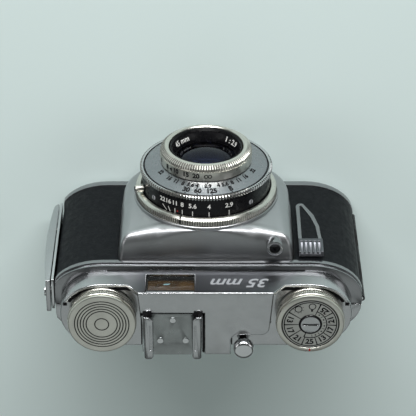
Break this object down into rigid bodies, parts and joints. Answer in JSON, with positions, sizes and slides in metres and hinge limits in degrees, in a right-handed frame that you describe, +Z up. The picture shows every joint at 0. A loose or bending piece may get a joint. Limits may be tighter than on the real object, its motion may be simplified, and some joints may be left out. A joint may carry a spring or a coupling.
{
  "type": "viewfinder film camera",
  "caption": "Compact 35 mm viewfinder camera with leaf shutter lens, side knobs, accessory shoe, hinged back and tripod socket",
  "frame": {"origin": "mouth of the tripod socket, in the plane of the base, straight under the optical axis", "axes": "+Z up, the lens looks along -Y, +X towards the rewind knob and the latch (the viewer's left)"},
  "size_m": [0.1186, 0.0634, 0.0799],
  "materials": {
    "satin_chrome": "satin",
    "bright_chrome": "polished",
    "warm_nickel": "turned",
    "release_metal": "satin",
    "leather": "fine grained",
    "black_paint": "semi-gloss",
    "cast_alloy": "painted matt black",
    "blade_steel": "blued",
    "brass": "satin",
    "black_plastic": "moulded",
    "lens_glass": "coated",
    "finder_glass": "clear"
  },
  "bodies": {
    "body": {"top_cover": "satin_chrome", "front_housing": "satin_chrome", "bottom_cover": "satin_chrome", "top_rim": "satin_chrome", "bottom_rim": "satin_chrome", "latch_strip": "satin_chrome", "accessory_shoe": "bright_chrome", "shoe_rivets": "bright_chrome", "sync_socket": "bright_chrome", "shutter_screws": "bright_chrome", "cover_screws": "bright_chrome", "hinge_pin": "bright_chrome", "tripod_bush": "bright_chrome", "dial_plate": "warm_nickel", "leather_left": "leather", "leather_right": "leather", "shutter_case": "black_paint", "rear_cell": "black_paint", "iris_plate": "black_paint", "shutter_plate": "black_paint", "body_shell": "black_paint", "finder_tube": "black_paint", "body_hinge": "black_paint", "film_chassis": "cast_alloy", "focus_sleeve": "brass", "sync_contact": "brass", "middle_element": "lens_glass", "rear_element": "lens_glass", "finder_window": "finder_glass", "finder_eyepiece": "finder_glass"},
    "rewind_lift": {"rewind_sleeve": "brass"},
    "rewind": {"rewind_knob": "warm_nickel", "rewind_shaft": "blade_steel"},
    "advance": {"advance_knob": "warm_nickel", "advance_shaft": "brass", "take_up_spool": "black_plastic", "dial_screw": "bright_chrome"},
    "film_counter": {"film_dial": "warm_nickel"},
    "sprocket": {"sprocket": "blade_steel"},
    "rewind_release": {"rewind_button": "bright_chrome"},
    "shutter_release": {"release_slide": "release_metal", "release_inset": "leather"},
    "shutter_blade_1": {"shutter_blade_1": "blade_steel"},
    "shutter_blade_2": {"shutter_blade_2": "blade_steel"},
    "cocking_lever": {"cocking_ring": "bright_chrome"},
    "aperture": {"aperture_ring": "warm_nickel"},
    "iris_1": {"iris_blade_1": "blade_steel"},
    "iris_2": {"iris_blade_2": "blade_steel"},
    "iris_3": {"iris_blade_3": "blade_steel"},
    "iris_4": {"iris_blade_4": "blade_steel"},
    "iris_5": {"iris_blade_5": "blade_steel"},
    "speed": {"speed_ring": "warm_nickel"},
    "focus": {"focus_ring": "warm_nickel"},
    "front_group": {"front_cell": "black_paint", "front_element": "lens_glass"},
    "back": {"back_cover": "satin_chrome", "back_leather": "leather", "pressure_spring": "brass"},
    "pressure_plate": {"pressure_plate": "black_paint"},
    "latch": {"latch_bar": "satin_chrome"}
  },
  "joints": [
    {"name": "rewind_pull", "type": "slide", "parent": "body", "child": "rewind_lift", "axis": [0, 0, 1], "range_m": [0, 0.0044]},
    {"name": "rewind_turn", "type": "hinge", "parent": "rewind_lift", "child": "rewind", "pos_m": [0.0376, 0.0005, 0.07], "axis": [0, 0, 1], "continuous": true},
    {"name": "advance_turn", "type": "hinge", "parent": "body", "child": "advance", "pos_m": [-0.0376, 0.0005, 0.07], "axis": [0, 0, 1], "continuous": true},
    {"name": "counter_turn", "type": "hinge", "parent": "advance", "child": "film_counter", "pos_m": [-0.0376, 0.0005, 0.07], "axis": [0, 0, 1], "continuous": true},
    {"name": "sprocket_turn", "type": "hinge", "parent": "body", "child": "sprocket", "pos_m": [-0.0248, 0.0042, 0.03], "axis": [0, 0, 1], "continuous": true},
    {"name": "rewind_button_press", "type": "slide", "parent": "body", "child": "rewind_release", "axis": [0, 0, -1], "range_m": [0, 0.002], "stiffness_N_per_m": 400, "springref_m": -0.002},
    {"name": "release_press", "type": "slide", "parent": "body", "child": "shutter_release", "axis": [0, 0, -1], "range_m": [0, 0.004], "stiffness_N_per_m": 300, "springref_m": -0.003},
    {"name": "shutter_blade_1_swing", "type": "hinge", "parent": "body", "child": "shutter_blade_1", "pos_m": [0, -0.0331, 0.0455], "axis": [0, -1, 0], "range_deg": [-40, 0]},
    {"name": "shutter_blade_2_swing", "type": "hinge", "parent": "body", "child": "shutter_blade_2", "pos_m": [0, -0.0339, 0.0175], "axis": [0, -1, 0], "range_deg": [-40, 0]},
    {"name": "cocking_swing", "type": "hinge", "parent": "body", "child": "cocking_lever", "pos_m": [0, -0.0337, 0.0315], "axis": [0, -1, 0], "range_deg": [-50, 0], "stiffness_Nm_per_rad": 0.004, "springref_deg": 28.65},
    {"name": "aperture_turn", "type": "hinge", "parent": "body", "child": "aperture", "pos_m": [0, -0.03, 0.0315], "axis": [0, -1, 0], "range_deg": [-21, 42]},
    {"name": "iris_1_turn", "type": "hinge", "parent": "body", "child": "iris_1", "pos_m": [0.0123, -0.0361, 0.0315], "axis": [0, -1, 0], "range_deg": [-28, 14]},
    {"name": "iris_2_turn", "type": "hinge", "parent": "body", "child": "iris_2", "pos_m": [0.0038, -0.0361, 0.0432], "axis": [0, -1, 0], "range_deg": [-28, 14]},
    {"name": "iris_3_turn", "type": "hinge", "parent": "body", "child": "iris_3", "pos_m": [-0.00995, -0.0361, 0.03873], "axis": [0, -1, 0], "range_deg": [-28, 14]},
    {"name": "iris_4_turn", "type": "hinge", "parent": "body", "child": "iris_4", "pos_m": [-0.00995, -0.0361, 0.02427], "axis": [0, -1, 0], "range_deg": [-28, 14]},
    {"name": "iris_5_turn", "type": "hinge", "parent": "body", "child": "iris_5", "pos_m": [0.0038, -0.0361, 0.0198], "axis": [0, -1, 0], "range_deg": [-28, 14]},
    {"name": "speed_turn", "type": "hinge", "parent": "body", "child": "speed", "pos_m": [0, -0.0395, 0.0315], "axis": [0, -1, 0], "range_deg": [-28, 20]},
    {"name": "focus_turn", "type": "hinge", "parent": "body", "child": "focus", "pos_m": [0, -0.045, 0.0315], "axis": [0, -1, 0], "range_deg": [0, 270]},
    {"name": "focus_travel", "type": "slide", "parent": "focus", "child": "front_group", "axis": [0, -1, 0], "range_m": [0, 0.0012]},
    {"name": "back_swing", "type": "hinge", "parent": "body", "child": "back", "pos_m": [-0.0572, 0.0004, 0.0315], "axis": [0, 0, 1], "range_deg": [0, 120]},
    {"name": "pressure_float", "type": "slide", "parent": "back", "child": "pressure_plate", "axis": [0, 1, 0], "range_m": [0, 0.0003], "stiffness_N_per_m": 800, "springref_m": -0.001},
    {"name": "latch_lift", "type": "slide", "parent": "body", "child": "latch", "axis": [0, 0, 1], "range_m": [0, 0.003]}
  ],
  "couplings": [
    {"joint": "iris_1_turn", "follows": "aperture_turn", "ratio": -0.66667},
    {"joint": "iris_2_turn", "follows": "aperture_turn", "ratio": -0.66667},
    {"joint": "iris_3_turn", "follows": "aperture_turn", "ratio": -0.66667},
    {"joint": "iris_4_turn", "follows": "aperture_turn", "ratio": -0.66667},
    {"joint": "iris_5_turn", "follows": "aperture_turn", "ratio": -0.66667},
    {"joint": "sprocket_turn", "follows": "advance_turn", "ratio": -1},
    {"joint": "shutter_blade_1_swing", "follows": "release_press", "rad_per_m": -174.53},
    {"joint": "shutter_blade_2_swing", "follows": "release_press", "rad_per_m": -174.53},
    {"joint": "focus_travel", "follows": "focus_turn", "m_per_rad": 0.00025465}
  ]
}
